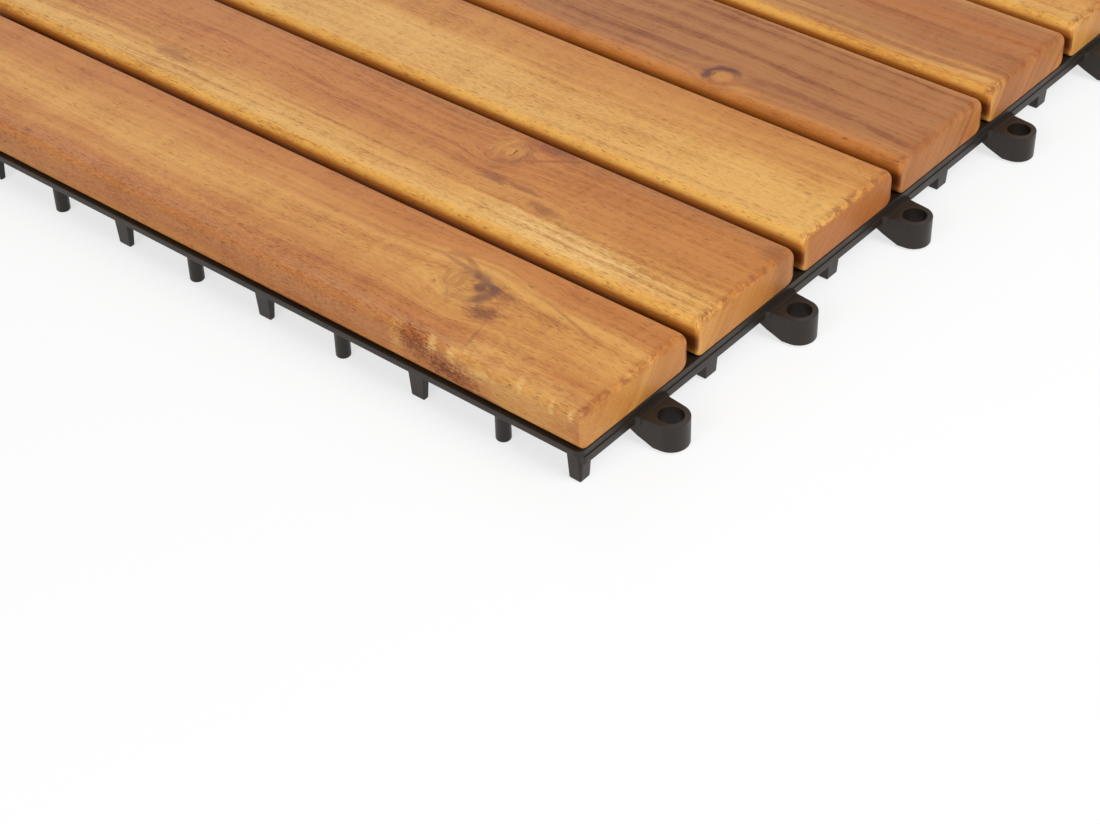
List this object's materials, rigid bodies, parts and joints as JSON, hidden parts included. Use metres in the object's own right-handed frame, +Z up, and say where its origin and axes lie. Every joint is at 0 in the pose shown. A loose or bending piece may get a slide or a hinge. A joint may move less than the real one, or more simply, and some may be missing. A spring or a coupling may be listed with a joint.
{
  "type": "interlocking deck tile",
  "caption": "Square floor tile of wooden slats on a moulded lattice base with legs, and with lugs and pegs that link it to the next tile.",
  "frame": {"origin": "centre of the whole footprint, lugs included, on the ground", "axes": "+X runs along the slats towards one lug side, +Y runs across them towards the other lug side, +Z is up"},
  "size_m": [0.3122, 0.3122, 0.024],
  "materials": {
    "oiled_wood": "oiled, satin",
    "black_plastic": "moulded, slightly satin",
    "screw_steel": "zinc plated"
  },
  "bodies": {
    "root": {"base_tray": "black_plastic", "slat_1": "oiled_wood", "slat_2": "oiled_wood", "slat_3": "oiled_wood", "slat_4": "oiled_wood", "slat_5": "oiled_wood", "slat_6": "oiled_wood", "slat_screws": "screw_steel"}
  },
  "joints": []
}
